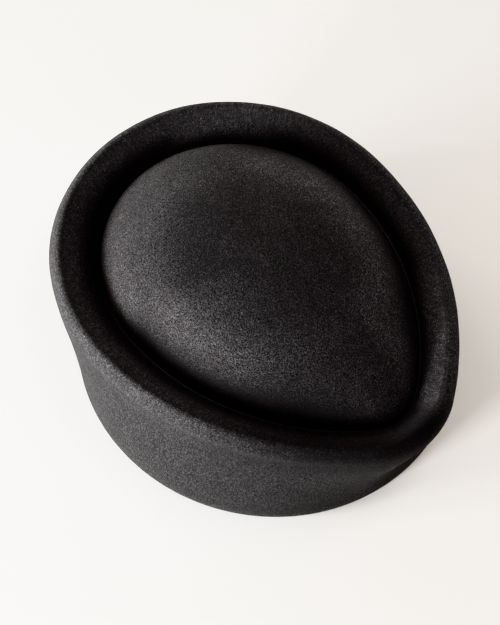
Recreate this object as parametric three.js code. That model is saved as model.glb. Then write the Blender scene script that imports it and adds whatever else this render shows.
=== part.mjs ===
// A blocked felt pillbox hat. One piece of pressed felt makes the whole of it: a round side wall, a rolled
// rim, a groove and a teardrop dome, so the hat is one hollow solid, open at the hem.
// Millimetres, +Z up. The hem stands on Z = 0 and the tip of the teardrop points along -Y. The origin lies
// under the middle of the hat's length and width.

import * as THREE from "three";
import { LoftGeometry } from "three/addons/geometries/LoftGeometry.js";
import { mergeVertices } from "three/addons/utils/BufferGeometryUtils.js";

const degree = Math.PI / 180;

// The felt: one even thickness, charcoal, matt.
const feltThickness = 2.5;
const feltFinish = { color: 0x232225, roughness: 0.95, metalness: 0 };

// The hem: the near-round oval that the wall stands on.
const hem = { halfWidth: 86.8, halfLength: 90.2, middleY: -3.54 };

// The groove: a teardrop round the foot of the dome. Behind its widest line it is half an oval. In front of
// that line two flat arcs run into a small round tip, which turns by tipTurn to each side.
const groove = {
  halfWidth: 61.1,
  backLength: 67.4,
  tipRadius: 18.3,
  tipTurn: 35 * degree,
  widestY: 13.06,
  height: 45.8,
};

// The rim between the wall and the groove, with a row for each of three sections. bulge is how far out from
// the groove the rim reaches. The wall goes straight up from the hem to flareFrom, then flows to the bulge.
const rimSections = {
  tip: { bulge: 15.3, flareFrom: 10 },
  side: { bulge: 20.6, flareFrom: 0 },
  back: { bulge: 22.3, flareFrom: 18 },
};
const bulgeHeight = 48.6;

// The rim's edge is a tight roll over its crest. From the end of the roll a slope with a slight swell runs
// down to the groove.
const roll = { width: 4.7, height: 6.3, turn: 115 * degree };
const slopeSwell = 1.2;

// The dome: a steep foot, a rounded shoulder and a gently crowned top. Its outline is the groove's at the
// foot and goes over to a round one towards the top.
const dome = {
  height: 24,
  shoulderPower: 2.2,
  crownPower: 1.8,
  topRadius: 66,
  middleY: 0,
  teardropShare: 1.5,
};

// How finely each stretch of the section is divided, and the whole way round.
const steps = { wall: 9, roll: 8, slope: 5, dome: 12, around: 72 };

// The direction that faces outwards at a turn from the tip, towards +X first.
function outward(turn) {
  return new THREE.Vector2(Math.sin(turn), -Math.cos(turn));
}

// The point of an oval about the origin where it faces outwards at this turn.
function ovalPoint(halfWidth, halfLength, turn) {
  const reach = Math.hypot(halfWidth * Math.sin(turn), halfLength * Math.cos(turn));
  return new THREE.Vector2(halfWidth ** 2 / reach, halfLength ** 2 / reach).multiply(outward(turn));
}

// The point of the groove where it faces outwards at this turn.
function groovePoint(turn) {
  const widest = new THREE.Vector2(0, groove.widestY);
  if (Math.cos(turn) <= 0) {
    return ovalPoint(groove.halfWidth, groove.backLength, turn).add(widest);
  }
  const tipSine = Math.sin(groove.tipTurn);
  const sideRadius = (groove.halfWidth - groove.tipRadius * tipSine) / (1 - tipSine);
  if (Math.cos(turn) > Math.cos(groove.tipTurn)) {
    const tipCentre = new THREE.Vector2(0, (groove.tipRadius - sideRadius) * Math.cos(groove.tipTurn));
    return outward(turn).multiplyScalar(groove.tipRadius).add(tipCentre).add(widest);
  }
  const sideShift = (groove.halfWidth - sideRadius) * Math.sign(Math.sin(turn));
  return outward(turn).multiplyScalar(sideRadius).add(new THREE.Vector2(sideShift, 0)).add(widest);
}

// How far outside the groove the hem lies, straight out from the groove at this turn.
function hemReach(turn) {
  const share = new THREE.Vector2(1 / hem.halfWidth, 1 / hem.halfLength);
  const from = groovePoint(turn).sub(new THREE.Vector2(0, hem.middleY)).multiply(share);
  const step = outward(turn).multiply(share);
  const along = from.dot(step);
  const room = along ** 2 - step.lengthSq() * (from.lengthSq() - 1);
  return (Math.sqrt(room) - along) / step.lengthSq();
}

// One column of the rim table, carried smoothly round from the tip by the sides to the back.
function rimAt(column, turn) {
  const { tip, side, back } = rimSections;
  const lean = (tip[column] - back[column]) / 2;
  const ends = (tip[column] + back[column]) / 2 - side[column];
  return side[column] + lean * Math.cos(turn) + ends * Math.cos(turn) ** 2;
}

// The section of wall and rim at one turn, from the hem to the groove: x is the reach out from the groove
// and y is the height.
function wallAndRim(turn) {
  const section = [];
  const bulge = rimAt("bulge", turn);
  for (let i = 0; i < steps.wall; i++) {
    const height = (bulgeHeight * i) / steps.wall;
    const flare = THREE.MathUtils.smoothstep(height, rimAt("flareFrom", turn), bulgeHeight);
    section.push(new THREE.Vector2(THREE.MathUtils.lerp(hemReach(turn), bulge, flare), height));
  }
  for (let i = 0; i < steps.roll; i++) {
    const bend = (i / steps.roll) * roll.turn;
    const reach = bulge - roll.width * (1 - Math.cos(bend));
    section.push(new THREE.Vector2(reach, bulgeHeight + roll.height * Math.sin(bend)));
  }
  const slopeReach = bulge - roll.width * (1 - Math.cos(roll.turn));
  const slopeTop = bulgeHeight + roll.height * Math.sin(roll.turn);
  for (let i = 0; i <= steps.slope; i++) {
    const down = i / steps.slope;
    const swell = slopeSwell * Math.sin(down * 180 * degree);
    const height = THREE.MathUtils.lerp(slopeTop, groove.height, down) + swell;
    section.push(new THREE.Vector2(slopeReach * (1 - down), height));
  }
  return section;
}

// A point of the dome: climb is 0 at the groove and a quarter turn at the very top.
function domePoint(turn, climb) {
  const spread = Math.cos(climb) ** (2 / dome.shoulderPower);
  const height = groove.height + dome.height * Math.sin(climb) ** (2 / dome.crownPower);
  const middle = new THREE.Vector2(0, dome.middleY);
  const round = outward(turn).multiplyScalar(dome.topRadius);
  const foot = groovePoint(turn).sub(middle);
  const plan = round.lerp(foot, spread ** dome.teardropShare).multiplyScalar(spread).add(middle);
  return new THREE.Vector3(plan.x, plan.y, height);
}

// The outer face as columns, one for each turn round the hat, from the hem up to the top of the dome.
function outerColumns() {
  const columns = [];
  for (let j = 0; j < steps.around; j++) {
    const turn = (j / steps.around) * 360 * degree;
    const column = wallAndRim(turn).map(({ x: reach, y: height }) => {
      const plan = outward(turn).multiplyScalar(reach).add(groovePoint(turn));
      return new THREE.Vector3(plan.x, plan.y, height);
    });
    for (let i = 1; i <= steps.dome; i++) {
      column.push(domePoint(turn, (i / steps.dome) * 90 * degree));
    }
    columns.push(column);
  }
  return columns;
}

// The inner face: every point of the outer face moved in by the felt's thickness, straight into the felt.
// The hem's points move level, so its cut edge is flat, and the top of the dome moves straight down.
function innerColumns(columns) {
  return columns.map((column, j) => {
    const before = columns[(j + columns.length - 1) % columns.length];
    const after = columns[(j + 1) % columns.length];
    return column.map((point, i) => {
      const top = i === column.length - 1;
      const around = after[i].clone().sub(before[i]);
      const rise = top ? new THREE.Vector3() : column[i + 1].clone().sub(column[Math.max(i - 1, 0)]);
      const facing = top ? new THREE.Vector3(0, 0, 1) : around.cross(rise);
      if (i === 0) {
        facing.z = 0;
      }
      return point.clone().addScaledVector(facing.normalize(), -feltThickness);
    });
  });
}

// Rings from columns, so that the loft can run along them.
function ringsOf(columns) {
  return columns[0].map((_, i) => columns.map((column) => column[i]));
}

// A loft through rings of which the first and the last are single points. The triangles that have no width
// at those two points are left out.
function closedLoft(rings) {
  const loft = new LoftGeometry(rings);
  const skin = new THREE.BufferGeometry();
  skin.setAttribute("position", loft.getAttribute("position"));
  skin.setIndex(loft.getIndex());
  const joined = mergeVertices(skin, 1e-4);
  const corners = joined.getIndex().array;
  const kept = [];
  for (let i = 0; i < corners.length; i += 3) {
    const [a, b, c] = corners.slice(i, i + 3);
    if (a !== b && b !== c && c !== a) {
      kept.push(a, b, c);
    }
  }
  joined.setIndex(kept);
  joined.computeVertexNormals();
  return joined;
}

function feltBody() {
  const outer = outerColumns();
  const inner = innerColumns(outer);
  const geometry = closedLoft([...ringsOf(inner).reverse(), ...ringsOf(outer)]);
  const body = new THREE.Mesh(geometry, new THREE.MeshStandardMaterial(feltFinish));
  body.name = "felt_body";
  return body;
}

const hat = new THREE.Group();
hat.name = "pillbox_hat";
hat.add(feltBody());

export default hat;
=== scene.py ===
import math

import bmesh
import bpy
from mathutils import Euler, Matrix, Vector, noise


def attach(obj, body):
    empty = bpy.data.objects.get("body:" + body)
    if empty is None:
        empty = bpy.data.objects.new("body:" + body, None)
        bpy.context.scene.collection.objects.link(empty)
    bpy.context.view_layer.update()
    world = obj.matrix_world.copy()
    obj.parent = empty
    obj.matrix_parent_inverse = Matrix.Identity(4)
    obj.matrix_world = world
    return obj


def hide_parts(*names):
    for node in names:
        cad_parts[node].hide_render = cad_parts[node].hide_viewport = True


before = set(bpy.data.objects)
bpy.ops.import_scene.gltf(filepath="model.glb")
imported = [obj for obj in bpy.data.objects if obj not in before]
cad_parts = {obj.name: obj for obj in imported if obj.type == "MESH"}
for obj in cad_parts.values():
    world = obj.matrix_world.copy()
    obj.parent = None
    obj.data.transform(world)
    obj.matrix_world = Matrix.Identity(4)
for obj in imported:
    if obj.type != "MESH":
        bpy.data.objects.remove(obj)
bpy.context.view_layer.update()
print("frame loaded")

mm = 0.001
degree = math.pi / 180


# The felt shell. Sizes are in millimetres, and the columns of the rim rows are tip, side and back.
feltShell = {
    "thickness": 2.5,
    "hem": {"halfWidth": 86.8, "halfLength": 90.2, "middleY": -3.54},
    "cutEdge": {"below": 0.05, "sharpFrom": 60, "round": 0.7, "segments": 3},
    "groove": {"halfWidth": 61.1, "backLength": 67.4, "tipRadius": 18.3, "tipTurn": 35,
               "widestY": 13.06, "height": 45.8},
    "bulge": (15.3, 20.6, 22.3),       # how far out from the groove the rim reaches
    "flareFrom": (10, 0, 18),          # the wall flows out to the bulge above this height
    "bulgeHeight": 48.6,
    "roll": {"width": 4.7, "height": 6.3, "turn": 115},
    "slopeSwell": 1.2,
    "crease": {"lipAt": 0.75, "lipWide": 0.3, "lipHigh": 0.35, "slitWide": 0.35, "slitDeep": 0.8},
    "dome": {"height": 24, "shoulderPower": 2.2, "crownPower": 1.8, "topRadius": 66,
             "teardropShare": 1.5},
    "waves": ((34, 0.3), (11, 0.1)),   # length and depth of the unevenness left by the block
    "wavesFrom": (0.5, 10),            # heights between which it sets in
    "rings": {"wall": 36, "roll": 18, "slope": 26, "dome": 58},
    "gather": {"slope": 1.7, "dome": 1.15},   # powers that set the rings closer towards the groove
    "around": 256,
}


def smoothStep(value, low, high):
    share = min(max((value - low) / (high - low), 0), 1)
    return share * share * (3 - 2 * share)


# A soft hump: 1 at its middle, and almost 0 two widths away.
def humpAt(value, middle, width):
    return math.exp(-((value - middle) / width) ** 2)


# The turn is 0 at the tip, a quarter at +X and a half at the back.
def outward(turn):
    return Vector((math.sin(turn), -math.cos(turn)))


def ovalPoint(halfWidth, halfLength, turn):
    across, along = halfWidth * math.sin(turn), halfLength * math.cos(turn)
    return Vector((halfWidth * across, -halfLength * along)) / math.hypot(across, along)


# The groove is half an oval at the back, two wide arcs at the sides and a small arc at the tip.
def groovePoint(turn):
    groove = feltShell["groove"]
    widest = Vector((0, groove["widestY"]))
    if math.cos(turn) <= 0:
        return ovalPoint(groove["halfWidth"], groove["backLength"], turn) + widest
    tipTurn = groove["tipTurn"] * degree
    tipSine = math.sin(tipTurn)
    sideRadius = (groove["halfWidth"] - groove["tipRadius"] * tipSine) / (1 - tipSine)
    if math.cos(turn) > math.cos(tipTurn):
        tipCentre = Vector((0, (groove["tipRadius"] - sideRadius) * math.cos(tipTurn)))
        return outward(turn) * groove["tipRadius"] + tipCentre + widest
    toSide = math.copysign(1, math.sin(turn))
    sideShift = Vector(((groove["halfWidth"] - sideRadius) * toSide, 0))
    return outward(turn) * sideRadius + sideShift + widest


# How far the hem's oval lies out from the groove.
def hemReach(turn):
    hem = feltShell["hem"]
    away = outward(turn)
    start = groovePoint(turn) - Vector((0, hem["middleY"]))
    start = Vector((start.x / hem["halfWidth"], start.y / hem["halfLength"]))
    step = Vector((away.x / hem["halfWidth"], away.y / hem["halfLength"]))
    along = start.dot(step)
    room = along ** 2 - step.length_squared * (start.length_squared - 1)
    return (math.sqrt(room) - along) / step.length_squared


def rimAt(row, turn):
    tip, side, back = feltShell[row]
    ends = (tip + back) / 2 - side
    return side + (tip - back) / 2 * math.cos(turn) + ends * math.cos(turn) ** 2


# A point of the outer face, by the share of the way along one stretch of the section.
def feltPoint(stretch, share, turn):
    groove, roll, crease, dome = (feltShell[key] for key in ("groove", "roll", "crease", "dome"))
    bulgeHeight, gather = feltShell["bulgeHeight"], feltShell["gather"]
    foot = groovePoint(turn)
    bulge, rollTurn = rimAt("bulge", turn), roll["turn"] * degree
    if stretch == "dome":
        climb = share ** gather["dome"] * math.pi / 2
        spread = max(math.cos(climb), 0) ** (2 / dome["shoulderPower"])
        height = groove["height"] + dome["height"] * math.sin(climb) ** (2 / dome["crownPower"])
        top = outward(turn) * dome["topRadius"]
        plan = top.lerp(foot, spread ** dome["teardropShare"]) * spread
        return Vector((plan.x, plan.y, height))
    if stretch == "wall":
        height = bulgeHeight * share
        flare = smoothStep(height, rimAt("flareFrom", turn), bulgeHeight)
        reach = hemReach(turn) * (1 - flare) + bulge * flare
    elif stretch == "roll":
        bend = share * rollTurn
        reach = bulge - roll["width"] * (1 - math.cos(bend))
        height = bulgeHeight + roll["height"] * math.sin(bend)
    else:
        left = (1 - share) ** gather["slope"]
        crest = bulgeHeight + roll["height"] * math.sin(rollTurn)
        reach = (bulge - roll["width"] * (1 - math.cos(rollTurn))) * left
        height = groove["height"] + (crest - groove["height"]) * left
        height += feltShell["slopeSwell"] * math.sin(left * math.pi)
        height += crease["lipHigh"] * humpAt(reach, crease["lipAt"], crease["lipWide"])
        height -= crease["slitDeep"] * humpAt(reach, 0, crease["slitWide"])
    plan = foot + outward(turn) * reach
    return Vector((plan.x, plan.y, height))


def sectionRings():
    rings = feltShell["rings"]
    rows = [("wall", i / rings["wall"]) for i in range(rings["wall"])]
    rows += [("roll", i / rings["roll"]) for i in range(rings["roll"])]
    rows += [("slope", i / rings["slope"]) for i in range(rings["slope"] + 1)]
    return rows + [("dome", i / rings["dome"]) for i in range(1, rings["dome"] + 1)]


# Wear, nap and fur of the felt, in shares of the roll for the crest and of the slope for the lip.
# The pale crest is partly wear, partly painted highlight.
feltWear = {
    "crest": {"at": 0.6, "wide": 0.2},
    # the lip's painted highlight, a pale line along the crease, sets in from the back to the front
    # between these cosines of the turn
    "lip": {"at": 0.8, "wide": 0.06, "strength": 3, "front": (-0.5, 0.2)},
    "hemHigh": 2.5,
    "brushedFrom": (0.2, 0.6),         # shares of the roll between which the nap sets in
    "napRadius": 80,                   # the nap's streaks are laid out on a round of this size
    "fur": {"from": (3, 8), "plain": 0.55, "crest": 0.45},
}

# Painted light and shade in the felt's colour, from 0 for painted shade. A zone lies about a turn
# in degrees, and its spread gives the cosines at its edge and where it is full. Between its
# heights painted shade goes over to full colour.
paintedShading = {
    "wall": 0.34,
    "roll": 0.51,
    # painted shade darkens the slope towards the groove, later in its paler zones of painted light
    "slope": {"share": 0.6, "dark": (0.1, 0.54), "litDark": (0.32, 0.78),
              "lit": ({"turn": 42, "spread": (0.9, 0.98), "share": 0.9},
                      {"turn": 143, "spread": (0.9, 0.98), "share": 0.64})},
    # painted shade on the dome's shoulder: the near side is what the far side and the round tip
    # leave
    "nearSide": {"heights": (52, 63.5)},
    "farSide": {"turn": -160, "spread": (0.3, 0.65), "heights": (46, 52.5), "share": 0.67},
    "roundTip": {"turn": 2, "spread": (0.6, 0.96), "heights": (46.5, 54)},
    "crown": {"heights": (61.5, 68.5), "shaded": 0.48},     # painted shade: darker above these heights
    "top": {"from": 0.82, "share": 0.84},                   # the dome's zones meet evenly here
    # painted shade: the rim is darker round its tip, and so are a part of the wall and the dome
    # beside it
    "darkTip": {"turn": -16, "spread": (0.5, 0.93), "share": 0.76,
                "wallLeast": 0.15, "wallFrom": (0.68, 0.96), "domeShare": 0.6},
}


# How far a turn lies inside a zone: 1 in its middle, 0 outside.
def zoneAt(turn, zone):
    return smoothStep(math.cos(turn - zone["turn"] * degree), *zone["spread"])


# Painted light and shade on the slope: dark towards the groove, paler in two lit zones.
def slopePaintedShading(share, turn):
    slope = paintedShading["slope"]
    lit = [zoneAt(turn, zone) for zone in slope["lit"]]
    plain = slope["share"] * (1 - sum(lit)) * (1 - smoothStep(share, *slope["dark"]))
    paler = sum(part * zone["share"] for part, zone in zip(lit, slope["lit"]))
    return plain + paler * (1 - smoothStep(share, *slope["litDark"]))


# Painted shade on the dome's shoulder, by side, height and turn, evened out towards the top.
def domePaintedShading(share, height, turn):
    near, far, tip, top = (paintedShading[key] for key in ("nearSide", "farSide", "roundTip", "top"))
    onFar, onTip = zoneAt(turn, far), zoneAt(turn, tip)
    paintedLightShare = ((1 - onFar - onTip) * smoothStep(height, *near["heights"])
            + far["share"] * onFar * smoothStep(height, *far["heights"])
            + onTip * smoothStep(height, *tip["heights"]))
    return paintedLightShare + (top["share"] - paintedLightShare) * smoothStep(share, top["from"], 1)


# What the materials and the fibres read at one point of the felt.
def marksAt(stretch, share, height, turn):
    crest, lip, fur = (feltWear[key] for key in ("crest", "lip", "fur"))
    darkTip, crown = paintedShading["darkTip"], paintedShading["crown"]
    nearTip = zoneAt(turn, darkTip)
    onCrest = humpAt(share, crest["at"], crest["wide"]) if stretch == "roll" else 0
    onLip = humpAt(share, lip["at"], lip["wide"]) if stretch == "slope" else 0
    # the lip is paled into a bright line along the crease, a painted highlight
    lipHighlight = lip["strength"] * onLip * smoothStep(math.cos(turn), *lip["front"])
    hemWear = humpAt(height, 0, feltWear["hemHigh"])
    brushed, upright = 0, 0
    if stretch == "wall":
        upright, paintedLightShare = 1, paintedShading["wall"]
        upWall = smoothStep(share, *darkTip["wallFrom"])
        dark = darkTip["wallLeast"] + (1 - darkTip["wallLeast"]) * upWall
    elif stretch == "roll":
        brushed = smoothStep(share, *feltWear["brushedFrom"])
        upright, paintedLightShare, dark = 1 - brushed, paintedShading["roll"], 1
    elif stretch == "slope":
        brushed, paintedLightShare, dark = 1 - share, slopePaintedShading(share, turn), 1 - share
    else:
        onCrown = smoothStep(height, *crown["heights"])
        paintedLightShare = domePaintedShading(share, height, turn) * (1 - crown["shaded"] * onCrown)
        dark = darkTip["domeShare"] * (1 - onCrown)
    # the colour share below is painted light and shade, lowest round the tip, where the crest's
    # pale wear is also left out
    return {
        "wearAndGlint": max(onCrest * (1 - nearTip), lipHighlight, hemWear),
        "brushed": brushed,
        "paintedLight": paintedLightShare * (1 - darkTip["share"] * nearTip * dark),
        "upright": upright,
        "fur": smoothStep(height, *fur["from"]) * (fur["plain"] + fur["crest"] * onCrest),
    }


# Extruding leaves the faces in no fixed order. Sorted, the fibres fall the same way in every run.
def orderFaces(bm):
    bm.verts.index_update()
    count = len(bm.verts)

    def rank(face):
        first, second = sorted(vert.index for vert in face.verts)[:2]
        return first * count + second

    bm.faces.sort(key=rank)


def smoothFaces(bm):
    for face in bm.faces:
        face.smooth = True


# One face of felt, drawn up ring by ring from the hem to the top of the dome.
def drawFelt():
    bm = bmesh.new()
    layers = {key: bm.verts.layers.float.new(key)
              for key in ("turn", "wearAndGlint", "brushed", "paintedLight", "upright", "fur")}
    nap = bm.verts.layers.float_vector.new("nap")
    bmesh.ops.create_circle(bm, segments=feltShell["around"], radius=1)
    for vert in bm.verts:
        vert[layers["turn"]] = math.atan2(vert.co.x, -vert.co.y)
    ringVerts, ringEdges = bm.verts[:], bm.edges[:]
    arc, before = 0, None
    for stretch, share in sectionRings():
        side = feltPoint(stretch, share, math.pi / 2)
        if before is not None:
            grown = bmesh.ops.extrude_edge_only(bm, edges=ringEdges)["geom"]
            ringVerts = [item for item in grown if isinstance(item, bmesh.types.BMVert)]
            ringEdges = [item for item in grown if isinstance(item, bmesh.types.BMEdge)]
            arc += (side - before).length
        before = side
        for vert in ringVerts:
            turn = vert[layers["turn"]]
            vert.co = feltPoint(stretch, share, turn) * mm
            away = outward(turn) * feltWear["napRadius"]
            vert[nap] = Vector((away.x, away.y, arc)) * mm
            for key, value in marksAt(stretch, share, side.z, turn).items():
                vert[layers[key]] = value
    bmesh.ops.pointmerge(bm, verts=ringVerts, merge_co=ringVerts[0].co)
    orderFaces(bm)
    bmesh.ops.recalc_face_normals(bm, faces=bm.faces)
    bm.normal_update()
    for vert in bm.verts:
        swell = sum(noise.noise(vert.co / (length * mm)) * depth
                    for length, depth in feltShell["waves"])
        rise = smoothStep(vert.co.z / mm, *feltShell["wavesFrom"])
        vert.co += vert.normal * swell * mm * rise
    smoothFaces(bm)
    return bm


def placeMesh(name, mesh, material):
    piece = bpy.data.objects.new(name, mesh)
    bpy.context.scene.collection.objects.link(piece)
    mesh.materials.append(material)
    return piece


def addPiece(name, bm, material):
    mesh = bpy.data.meshes.new(name)
    bm.to_mesh(mesh)
    bm.free()
    return placeMesh(name, mesh, material)


def addLink(tree, source, target):
    tree.links.new(source, target)


def addNode(tree, kind, **settings):
    node = tree.nodes.new(kind)
    for key, value in settings.items():
        setattr(node, key, value)
    return node


def setInputs(node, values):
    for key, value in values.items():
        node.inputs[key].default_value = value


def addMath(tree, operation, first, second):
    node = addNode(tree, "ShaderNodeMath", operation=operation)
    for socket, value in zip(node.inputs, (first, second)):
        if isinstance(value, (int, float)):
            socket.default_value = value
        else:
            addLink(tree, value, socket)
    return node.outputs[0]


# Noise of one size in millimetres. It can be turned, and drawn out along its own directions.
def addNoise(tree, place, size, detail=2.0, turned=(0, 0, 0), stretched=None):
    if stretched is not None:
        mapping = addNode(tree, "ShaderNodeMapping", vector_type="TEXTURE")
        addLink(tree, place, mapping.inputs["Vector"])
        setInputs(mapping, {"Rotation": turned, "Scale": stretched})
        place = mapping.outputs[0]
    node = addNode(tree, "ShaderNodeTexNoise")
    addLink(tree, place, node.inputs["Vector"])
    setInputs(node, {"Scale": 1 / (size * mm), "Detail": detail})
    return node.outputs["Fac"]


noiseSpan = (0.3, 0.7)     # nearly all of the noise lies in this span
noiseMiddle = 0.5


def addRange(tree, value, low, high, toLow=0.0, toHigh=1.0):
    node = addNode(tree, "ShaderNodeMapRange", interpolation_type="SMOOTHSTEP")
    addLink(tree, value, node.inputs["Value"])
    setInputs(node, {"From Min": low, "From Max": high, "To Min": toLow, "To Max": toHigh})
    return node.outputs["Result"]


def addMix(tree, share, first, second):
    node = addNode(tree, "ShaderNodeMix", data_type="RGBA")
    addLink(tree, share, node.inputs["Factor"])
    for key, value in (("A", first), ("B", second)):
        socket = [item for item in node.inputs if item.name == key and item.type == "RGBA"][0]
        if isinstance(value, tuple):
            socket.default_value = (*value, 1)
        else:
            addLink(tree, value, socket)
    return [item for item in node.outputs if item.type == "RGBA"][0]


def startMaterial(name):
    material = bpy.data.materials.new(name)
    material.use_nodes = True
    tree = material.node_tree
    place = addNode(tree, "ShaderNodeTexCoord").outputs["Object"]
    return material, tree, tree.nodes["Principled BSDF"], place


# Matted fibres: thin noise drawn out along several directions, with the pits between them.
feltGrain = {
    "directions": ((0, 0, 90), (0, 0, 68), (0, 0, 112), (0, 0, 30), (0, 50, 60), (0, -40, 110)),
    "fibreWide": 0.31,
    "fibreLong": 3.4,
    "fibreSpan": (0.56, 0.83),
    "pitSize": 0.5,
    "pitSpan": (0.49, 0.31),
    "lumpSize": 3.2,
    "lumpHigh": 1.5,
}


def makeFeltGroup():
    tree = bpy.data.node_groups.new("mattedFibres", "ShaderNodeTree")
    tree.interface.new_socket("Place", in_out="INPUT", socket_type="NodeSocketVector")
    for key in ("Fibres", "Pits", "Lumps", "Height"):
        tree.interface.new_socket(key, in_out="OUTPUT", socket_type="NodeSocketFloat")
    start, end = addNode(tree, "NodeGroupInput"), addNode(tree, "NodeGroupOutput")
    place = start.outputs["Place"]
    drawnOut = (feltGrain["fibreLong"], 1, 1)
    strongest = None
    for turned in feltGrain["directions"]:
        turned = Euler([angle * degree for angle in turned])
        fibre = addNoise(tree, place, feltGrain["fibreWide"], 1.0, turned, drawnOut)
        strongest = fibre if strongest is None else addMath(tree, "MAXIMUM", strongest, fibre)
    fibres = addRange(tree, strongest, *feltGrain["fibreSpan"])
    pits = addRange(tree, addNoise(tree, place, feltGrain["pitSize"]), *feltGrain["pitSpan"])
    lumps = addNoise(tree, place, feltGrain["lumpSize"], 3.0)
    height = addMath(tree, "SUBTRACT", fibres, pits)
    raised = addMath(tree, "MULTIPLY", lumps, feltGrain["lumpHigh"])
    height = addMath(tree, "ADD", height, raised)
    for key, value in (("Fibres", fibres), ("Pits", pits), ("Lumps", lumps), ("Height", height)):
        addLink(tree, value, end.inputs[key])
    return tree


# Charcoal felt: dark ground, lighter fibres, a brushed nap across the rim, a paler crest that is
# partly wear and partly painted highlight, and painted shade.
# Tones are the least and the most by which a pattern multiplies the fibres.
charcoalFelt = {
    "ground": (0.0295, 0.0282, 0.0286),
    "fibre": (0.226, 0.2145, 0.2185),
    "pit": (0.006, 0.0056, 0.0057),
    # the next two tones: a pale one for wear and painted highlight, a near black one for painted
    # shade
    "wornAndGlint": (0.3, 0.288, 0.294),
    "paintedShade": (0.0058, 0.0055, 0.0056),
    "roughness": (0.82, 1.0),
    "specular": 0.1,
    "sheen": {"weight": 0.04, "roughness": 0.4, "tint": (1.0, 0.97, 0.98)},
    "bump": {"strength": 0.8, "depth": 0.11},
    "streaks": {"size": 0.6, "long": 3.5, "tone": (0.5, 1.6), "high": 0.8},
    "clouds": {"size": 17, "tone": (0.85, 1.1)},
    "lumpTone": (0.75, 1.25),
    "flecks": {"size": 0.65, "long": 2, "share": 7.0},
    "calm": {"share": 0.32, "fibres": 0.18},     # the nap evens out the fibres under it
    "wearAndGlint": {"fibres": (0.2, 0.8), "share": (0.02, 0.4), "pressed": 0.12},
}


def makeFelt(feltGroup):
    felt = charcoalFelt
    streak, cloud, fleck = felt["streaks"], felt["clouds"], felt["flecks"]
    calm, glintAndWear, sheen = felt["calm"], felt["wearAndGlint"], felt["sheen"]
    material, tree, shader, place = startMaterial("charcoal felt")
    grain = addNode(tree, "ShaderNodeGroup", node_tree=feltGroup)
    addLink(tree, place, grain.inputs["Place"])
    threads, lumps = grain.outputs["Fibres"], grain.outputs["Lumps"]
    nap = addNode(tree, "ShaderNodeAttribute", attribute_name="nap").outputs["Vector"]
    brushed, wearAndGlint, paintedLight, upright = (
        addNode(tree, "ShaderNodeAttribute", attribute_name=key).outputs["Fac"]
        for key in ("brushed", "wearAndGlint", "paintedLight", "upright"))

    # streaks where the felt is brushed, with calmer fibres and pits under them
    streaks = addNoise(tree, nap, streak["size"], stretched=(1, 1, streak["long"]))
    streaks = addMath(tree, "SUBTRACT", streaks, noiseMiddle)
    streaks = addMath(tree, "MULTIPLY", streaks, brushed)
    streaks = addMath(tree, "ADD", streaks, noiseMiddle)
    calmed = addMath(tree, "MULTIPLY", brushed, calm["share"])
    even = addMath(tree, "SUBTRACT", calm["fibres"], threads)
    tone = addMath(tree, "ADD", threads, addMath(tree, "MULTIPLY", calmed, even))
    pits = addMath(tree, "SUBTRACT", 1, calmed)
    pits = addMath(tree, "MULTIPLY", grain.outputs["Pits"], pits)

    # the fibres' tone changes with clouds, streaks and lumps, and with flecks on the wall
    clouds = addNoise(tree, place, cloud["size"])
    patterns = ((clouds, cloud["tone"]), (streaks, streak["tone"]), (lumps, felt["lumpTone"]))
    for pattern, leastAndMost in patterns:
        change = addRange(tree, pattern, *noiseSpan, *leastAndMost)
        tone = addMath(tree, "MULTIPLY", tone, change)
    flecks = addNoise(tree, place, fleck["size"], stretched=(1, 1, fleck["long"]))
    flecks = addMath(tree, "SUBTRACT", flecks, noiseMiddle)
    flecks = addMath(tree, "MULTIPLY", flecks, fleck["share"])
    flecks = addMath(tree, "MULTIPLY", flecks, upright)
    tone = addMath(tree, "MULTIPLY", tone, addMath(tree, "ADD", flecks, 1))

    # wear and painted highlight up to 1 pale the fibres, and the lip's painted highlight goes past
    # it
    wornAndGlint = addRange(tree, threads, *glintAndWear["fibres"], *glintAndWear["share"])
    wornAndGlint = addMath(tree, "MULTIPLY", addMath(tree, "MINIMUM", wearAndGlint, 1), wornAndGlint)
    pressed = addMath(tree, "SUBTRACT", wearAndGlint, 1)
    pressed = addMath(tree, "MULTIPLY", pressed, glintAndWear["pressed"])
    wornAndGlint = addMath(tree, "MAXIMUM", wornAndGlint, pressed)

    colour = addMix(tree, tone, felt["ground"], felt["fibre"])
    colour = addMix(tree, pits, colour, felt["pit"])
    # painted light and shade: where the shell's mark is low the colour goes over to the near black
    # tone
    colour = addMix(tree, paintedLight, felt["paintedShade"], colour)
    colour = addMix(tree, wornAndGlint, colour, felt["wornAndGlint"])
    roughness = addRange(tree, lumps, *noiseSpan, *felt["roughness"])
    height = addMath(tree, "MULTIPLY", streaks, streak["high"])
    height = addMath(tree, "ADD", grain.outputs["Height"], height)
    bump = addNode(tree, "ShaderNodeBump")
    setInputs(bump, {"Strength": felt["bump"]["strength"], "Distance": felt["bump"]["depth"] * mm})
    addLink(tree, height, bump.inputs["Height"])
    addLink(tree, colour, shader.inputs["Base Color"])
    addLink(tree, roughness, shader.inputs["Roughness"])
    addLink(tree, bump.outputs["Normal"], shader.inputs["Normal"])
    setInputs(shader, {"Specular IOR Level": felt["specular"], "Sheen Weight": sheen["weight"],
                       "Sheen Roughness": sheen["roughness"], "Sheen Tint": (*sheen["tint"], 1)})
    return material


# Loose fibres that stand out of the felt: their own tone changes from place to place.
looseFibre = {"dark": (0.016, 0.0155, 0.016), "light": (0.11, 0.106, 0.105),
              "toneSpan": (0.35, 0.68), "roughness": (0.6, 0.85), "specular": 0.3}


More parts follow.
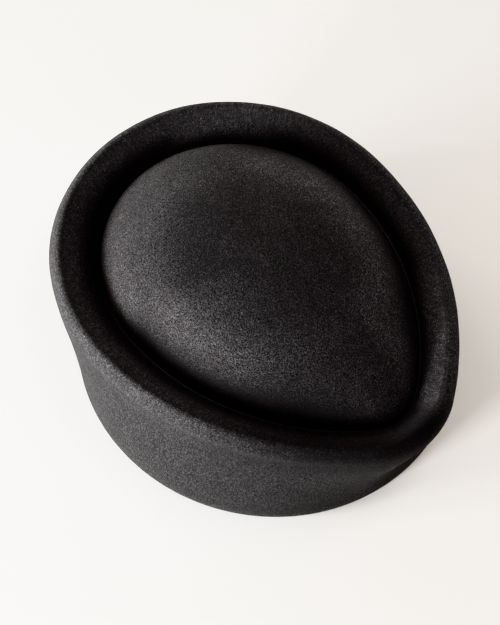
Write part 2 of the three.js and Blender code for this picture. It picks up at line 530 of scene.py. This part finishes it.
def makeLooseFibre(feltGroup):
    material, tree, shader, place = startMaterial("loose fibre")
    grain = addNode(tree, "ShaderNodeGroup", node_tree=feltGroup)
    addLink(tree, place, grain.inputs["Place"])
    lumps = grain.outputs["Lumps"]
    tone = addRange(tree, lumps, *looseFibre["toneSpan"])
    colour = addMix(tree, tone, looseFibre["dark"], looseFibre["light"])
    roughness = addRange(tree, lumps, *noiseSpan, *looseFibre["roughness"])
    addLink(tree, colour, shader.inputs["Base Color"])
    addLink(tree, roughness, shader.inputs["Roughness"])
    setInputs(shader, {"Specular IOR Level": looseFibre["specular"]})
    return material


feltGroup = makeFeltGroup()
feltMaterial = makeFelt(feltGroup)
fibreMaterial = makeLooseFibre(feltGroup)
print("felt materials made")


# The hat itself: the drawn felt gets its thickness, and the cut edge of the hem is softened.
def makeHat(felt):
    cut = feltShell["cutEdge"]
    felt = felt.copy()
    bmesh.ops.solidify(felt, geom=felt.faces[:], thickness=feltShell["thickness"] * mm)
    felt.normal_update()
    cutEdges = [edge for edge in felt.edges
                if max(vert.co.z for vert in edge.verts) < cut["below"] * mm
                and edge.calc_face_angle(0) > cut["sharpFrom"] * degree]
    bmesh.ops.bevel(felt, geom=cutEdges, offset=cut["round"] * mm, offset_type="OFFSET",
                    affect="EDGES", segments=cut["segments"], profile=0.5, material=-1)
    smoothFaces(felt)
    return addPiece("felt_hat", felt, feltMaterial)


drawnFelt = drawFelt()
feltHat = makeHat(drawnFelt)
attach(feltHat, "root")
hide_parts("felt_body")
print("felt hat drawn:", len(feltHat.data.polygons), "faces")


# Fibres are scattered over the outer face. Density is in fibres for each square millimetre.
fibreSets = {
    "short_fibres": {"density": 0.22, "long": 1.3, "thick": 0.07, "rise": 0.16,
                     "lean": (-4, 16), "size": (0.5, 1.3), "seed": 3},
    "stray_fibres": {"density": 0.035, "long": 2.2, "thick": 0.06, "rise": 0.5,
                     "lean": (-35, 5), "size": (0.4, 1.2), "seed": 11},
}
# Bow and curl turn through these shares of half a round, and the curl is a share of the length.
fibreForm = {"sides": 3, "cuts": 2, "merge": 1e-5, "bowTurn": 0.7, "curlTurn": 1.3, "curl": 0.12}


# One fibre lies along X, bows upwards and ends in a point.
def drawFibre(name, fibre):
    form, length = fibreForm, fibre["long"]
    bm = bmesh.new()
    bmesh.ops.create_cone(bm, segments=form["sides"], radius1=fibre["thick"] / 2, radius2=0,
                          depth=length, cap_ends=True)
    bmesh.ops.remove_doubles(bm, verts=bm.verts, dist=form["merge"])
    longEdges = [edge for edge in bm.edges
                 if abs(edge.verts[0].co.z - edge.verts[1].co.z) > length / 2]
    bmesh.ops.subdivide_edges(bm, edges=longEdges, cuts=form["cuts"])
    bmesh.ops.triangulate(bm, faces=bm.faces)
    for vert in bm.verts:
        share = vert.co.z / length + 0.5
        bow = fibre["rise"] * math.sin(share * math.pi * form["bowTurn"])
        curl = form["curl"] * length * math.sin(share * math.pi * form["curlTurn"])
        vert.co = Vector((share * length, vert.co.y + curl, vert.co.x + bow)) * mm
    bmesh.ops.recalc_face_normals(bm, faces=bm.faces)
    return addPiece(name + ".one", bm, fibreMaterial)


def randomNode(tree, low, high, seed):
    node = addNode(tree, "FunctionNodeRandomValue", data_type="FLOAT")
    sockets = [item for item in node.inputs if item.type == "VALUE"]
    sockets[0].default_value, sockets[1].default_value = low, high
    node.inputs["Seed"].default_value = seed
    return [item for item in node.outputs if item.type == "VALUE"][0]


# Each fibre gets its own lean, turn and size. The places and the three draws have seeds in a row.
def scatterTree(name, fibre, one):
    tree = bpy.data.node_groups.new(name, "GeometryNodeTree")
    for way in ("INPUT", "OUTPUT"):
        tree.interface.new_socket("Geometry", in_out=way, socket_type="NodeSocketGeometry")
    start, end = addNode(tree, "NodeGroupInput"), addNode(tree, "NodeGroupOutput")
    fur = addNode(tree, "GeometryNodeInputNamedAttribute", data_type="FLOAT")
    fur.inputs["Name"].default_value = "fur"
    density = addMath(tree, "MULTIPLY", fur.outputs["Attribute"], fibre["density"] / mm ** 2)
    scatter = addNode(tree, "GeometryNodeDistributePointsOnFaces", distribute_method="RANDOM")
    addLink(tree, start.outputs[0], scatter.inputs["Mesh"])
    addLink(tree, density, scatter.inputs["Density"])
    scatter.inputs["Seed"].default_value = fibre["seed"]
    turned = addNode(tree, "ShaderNodeCombineXYZ")
    lean = [angle * degree for angle in fibre["lean"]]
    addLink(tree, randomNode(tree, *lean, fibre["seed"] + 1), turned.inputs["Y"])
    addLink(tree, randomNode(tree, 0, 2 * math.pi, fibre["seed"] + 2), turned.inputs["Z"])
    euler = addNode(tree, "FunctionNodeEulerToRotation")
    addLink(tree, turned.outputs[0], euler.inputs[0])
    rotate = addNode(tree, "FunctionNodeRotateRotation", rotation_space="LOCAL")
    addLink(tree, scatter.outputs["Rotation"], rotate.inputs[0])
    addLink(tree, euler.outputs[0], rotate.inputs[1])
    template = addNode(tree, "GeometryNodeObjectInfo")
    template.inputs["Object"].default_value = one
    copies = addNode(tree, "GeometryNodeInstanceOnPoints")
    addLink(tree, scatter.outputs["Points"], copies.inputs["Points"])
    addLink(tree, template.outputs["Geometry"], copies.inputs["Instance"])
    addLink(tree, rotate.outputs[0], copies.inputs["Rotation"])
    addLink(tree, randomNode(tree, *fibre["size"], fibre["seed"] + 3), copies.inputs["Scale"])
    real = addNode(tree, "GeometryNodeRealizeInstances")
    addLink(tree, copies.outputs[0], real.inputs[0])
    addLink(tree, real.outputs[0], end.inputs[0])
    return tree


def scatterFibres(name, fibre, felt):
    one = drawFibre(name, fibre)
    carrier = addPiece(name + ".carrier", felt.copy(), fibreMaterial)
    modifier = carrier.modifiers.new("scatter", "NODES")
    modifier.node_group = scatterTree(name, fibre, one)
    grown = carrier.evaluated_get(bpy.context.evaluated_depsgraph_get())
    mesh = bpy.data.meshes.new_from_object(grown)
    for spare in (one, carrier):
        bpy.data.objects.remove(spare)
    mesh.name = name
    mesh.materials.clear()
    piece = placeMesh(name, mesh, fibreMaterial)
    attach(piece, "root")
    print(name, "scattered:", len(mesh.polygons), "faces")


for fibreName, fibreSizes in fibreSets.items():
    scatterFibres(fibreName, fibreSizes, drawnFelt)
drawnFelt.free()


# The pale floor, well past the view on every side. Its half side is in metres.
paleFloor = {"halfSide": 6, "bright": (0.91, 0.905, 0.895), "dull": (0.89, 0.885, 0.875),
             "grain": 0.8, "roughness": 0.8, "specular": 0.2}


def makeFloor():
    material, tree, shader, place = startMaterial("pale floor")
    paper = addNoise(tree, place, paleFloor["grain"], 3.0)
    colour = addMix(tree, paper, paleFloor["bright"], paleFloor["dull"])
    addLink(tree, colour, shader.inputs["Base Color"])
    setInputs(shader, {"Roughness": paleFloor["roughness"],
                       "Specular IOR Level": paleFloor["specular"]})
    bm = bmesh.new()
    bmesh.ops.create_grid(bm, x_segments=1, y_segments=1, size=paleFloor["halfSide"])
    floor = addPiece("pale_floor", bm, material)
    return floor


floor = makeFloor()
print("floor laid")


# Soft studio light: two low windows at the left of the picture, weak light from behind and from
# above. Turns and lifts are in degrees, distances and sizes in metres.
studioLight = {
    "window": {"turn": -87, "lift": 13, "away": 0.8, "size": (0.18, 0.14), "power": 10,
               "colour": (1.0, 1.0, 1.0)},
    "side window": {"turn": -116, "lift": 7.5, "away": 0.8, "size": (0.3, 0.14), "power": 15,
                    "colour": (1.0, 1.0, 1.0)},
    "back": {"turn": 180, "lift": 12, "away": 1.8, "size": (1.2, 0.5), "power": 20,
             "colour": (1.0, 0.98, 0.97)},
    "above": {"turn": 60, "lift": 65, "away": 1.6, "size": (0.8, 0.8), "power": 10,
              "colour": (1.0, 1.0, 1.02)},
}
# A warm light that falls on the floor alone.
floorLight = {"turn": 50, "lift": 45, "away": 0.42, "size": (0.3, 0.3), "power": 0.2,
              "colour": (1.0, 0.6, 0.2)}
# The room is pale near the floor behind the hat, and dim overhead and in front.
paleRoom = {"colour": (1.0, 0.98, 0.945), "strength": 5.0, "dimAbove": (0.0, 0.42),
            "overhead": 0.1, "behind": (-0.4, 0.6), "front": 0.2}


def addArea(name, light):
    lamp = bpy.data.lights.new(name, "AREA")
    lamp.shape = "RECTANGLE"
    lamp.size, lamp.size_y = light["size"]
    lamp.energy = light["power"]
    lamp.color = light["colour"]
    level = outward(light["turn"] * degree) * math.cos(light["lift"] * degree)
    away = Vector((level.x, level.y, math.sin(light["lift"] * degree)))
    lampObject = bpy.data.objects.new(name, lamp)
    lampObject.location = away * light["away"]
    lampObject.rotation_euler = away.to_track_quat("Z", "Y").to_euler()
    lampObject.visible_camera = False
    bpy.context.scene.collection.objects.link(lampObject)
    return lampObject


def lightRoom():
    world = bpy.data.worlds.new("pale room")
    world.use_nodes = True
    tree = world.node_tree
    look = addNode(tree, "ShaderNodeSeparateXYZ")
    addLink(tree, addNode(tree, "ShaderNodeTexCoord").outputs["Generated"], look.inputs[0])
    low = addRange(tree, look.outputs["Z"], *paleRoom["dimAbove"], 1.0, paleRoom["overhead"])
    back = addRange(tree, look.outputs["Y"], *paleRoom["behind"], paleRoom["front"], 1.0)
    strength = addMath(tree, "MULTIPLY", low, back)
    strength = addMath(tree, "MULTIPLY", strength, paleRoom["strength"])
    background = tree.nodes["Background"]
    background.inputs["Color"].default_value = (*paleRoom["colour"], 1)
    addLink(tree, strength, background.inputs["Strength"])
    bpy.context.scene.world = world
    bpy.context.scene.view_settings.view_transform = "Khronos PBR Neutral"


for lightName, lightSizes in studioLight.items():
    addArea(lightName + " light", lightSizes)
floorOnly = bpy.data.collections.new("floor only")
floorOnly.objects.link(floor)
addArea("floor light", floorLight).light_linking.receiver_collection = floorOnly
lightRoom()
print("lights set")


# The camera looks down on the hat over the tip's left side.
viewFrom = {"place": (-0.2083, -0.2359, 0.5651), "turned": (30, 0, -40.43), "lens": 79.49,
            "sensor": 36}

camera = bpy.data.cameras.new("view")
camera.lens = viewFrom["lens"]
camera.sensor_width = viewFrom["sensor"]
cameraObject = bpy.data.objects.new("view", camera)
cameraObject.location = viewFrom["place"]
cameraObject.rotation_euler = [angle * degree for angle in viewFrom["turned"]]
bpy.context.scene.collection.objects.link(cameraObject)
bpy.context.scene.camera = cameraObject
print("camera placed")
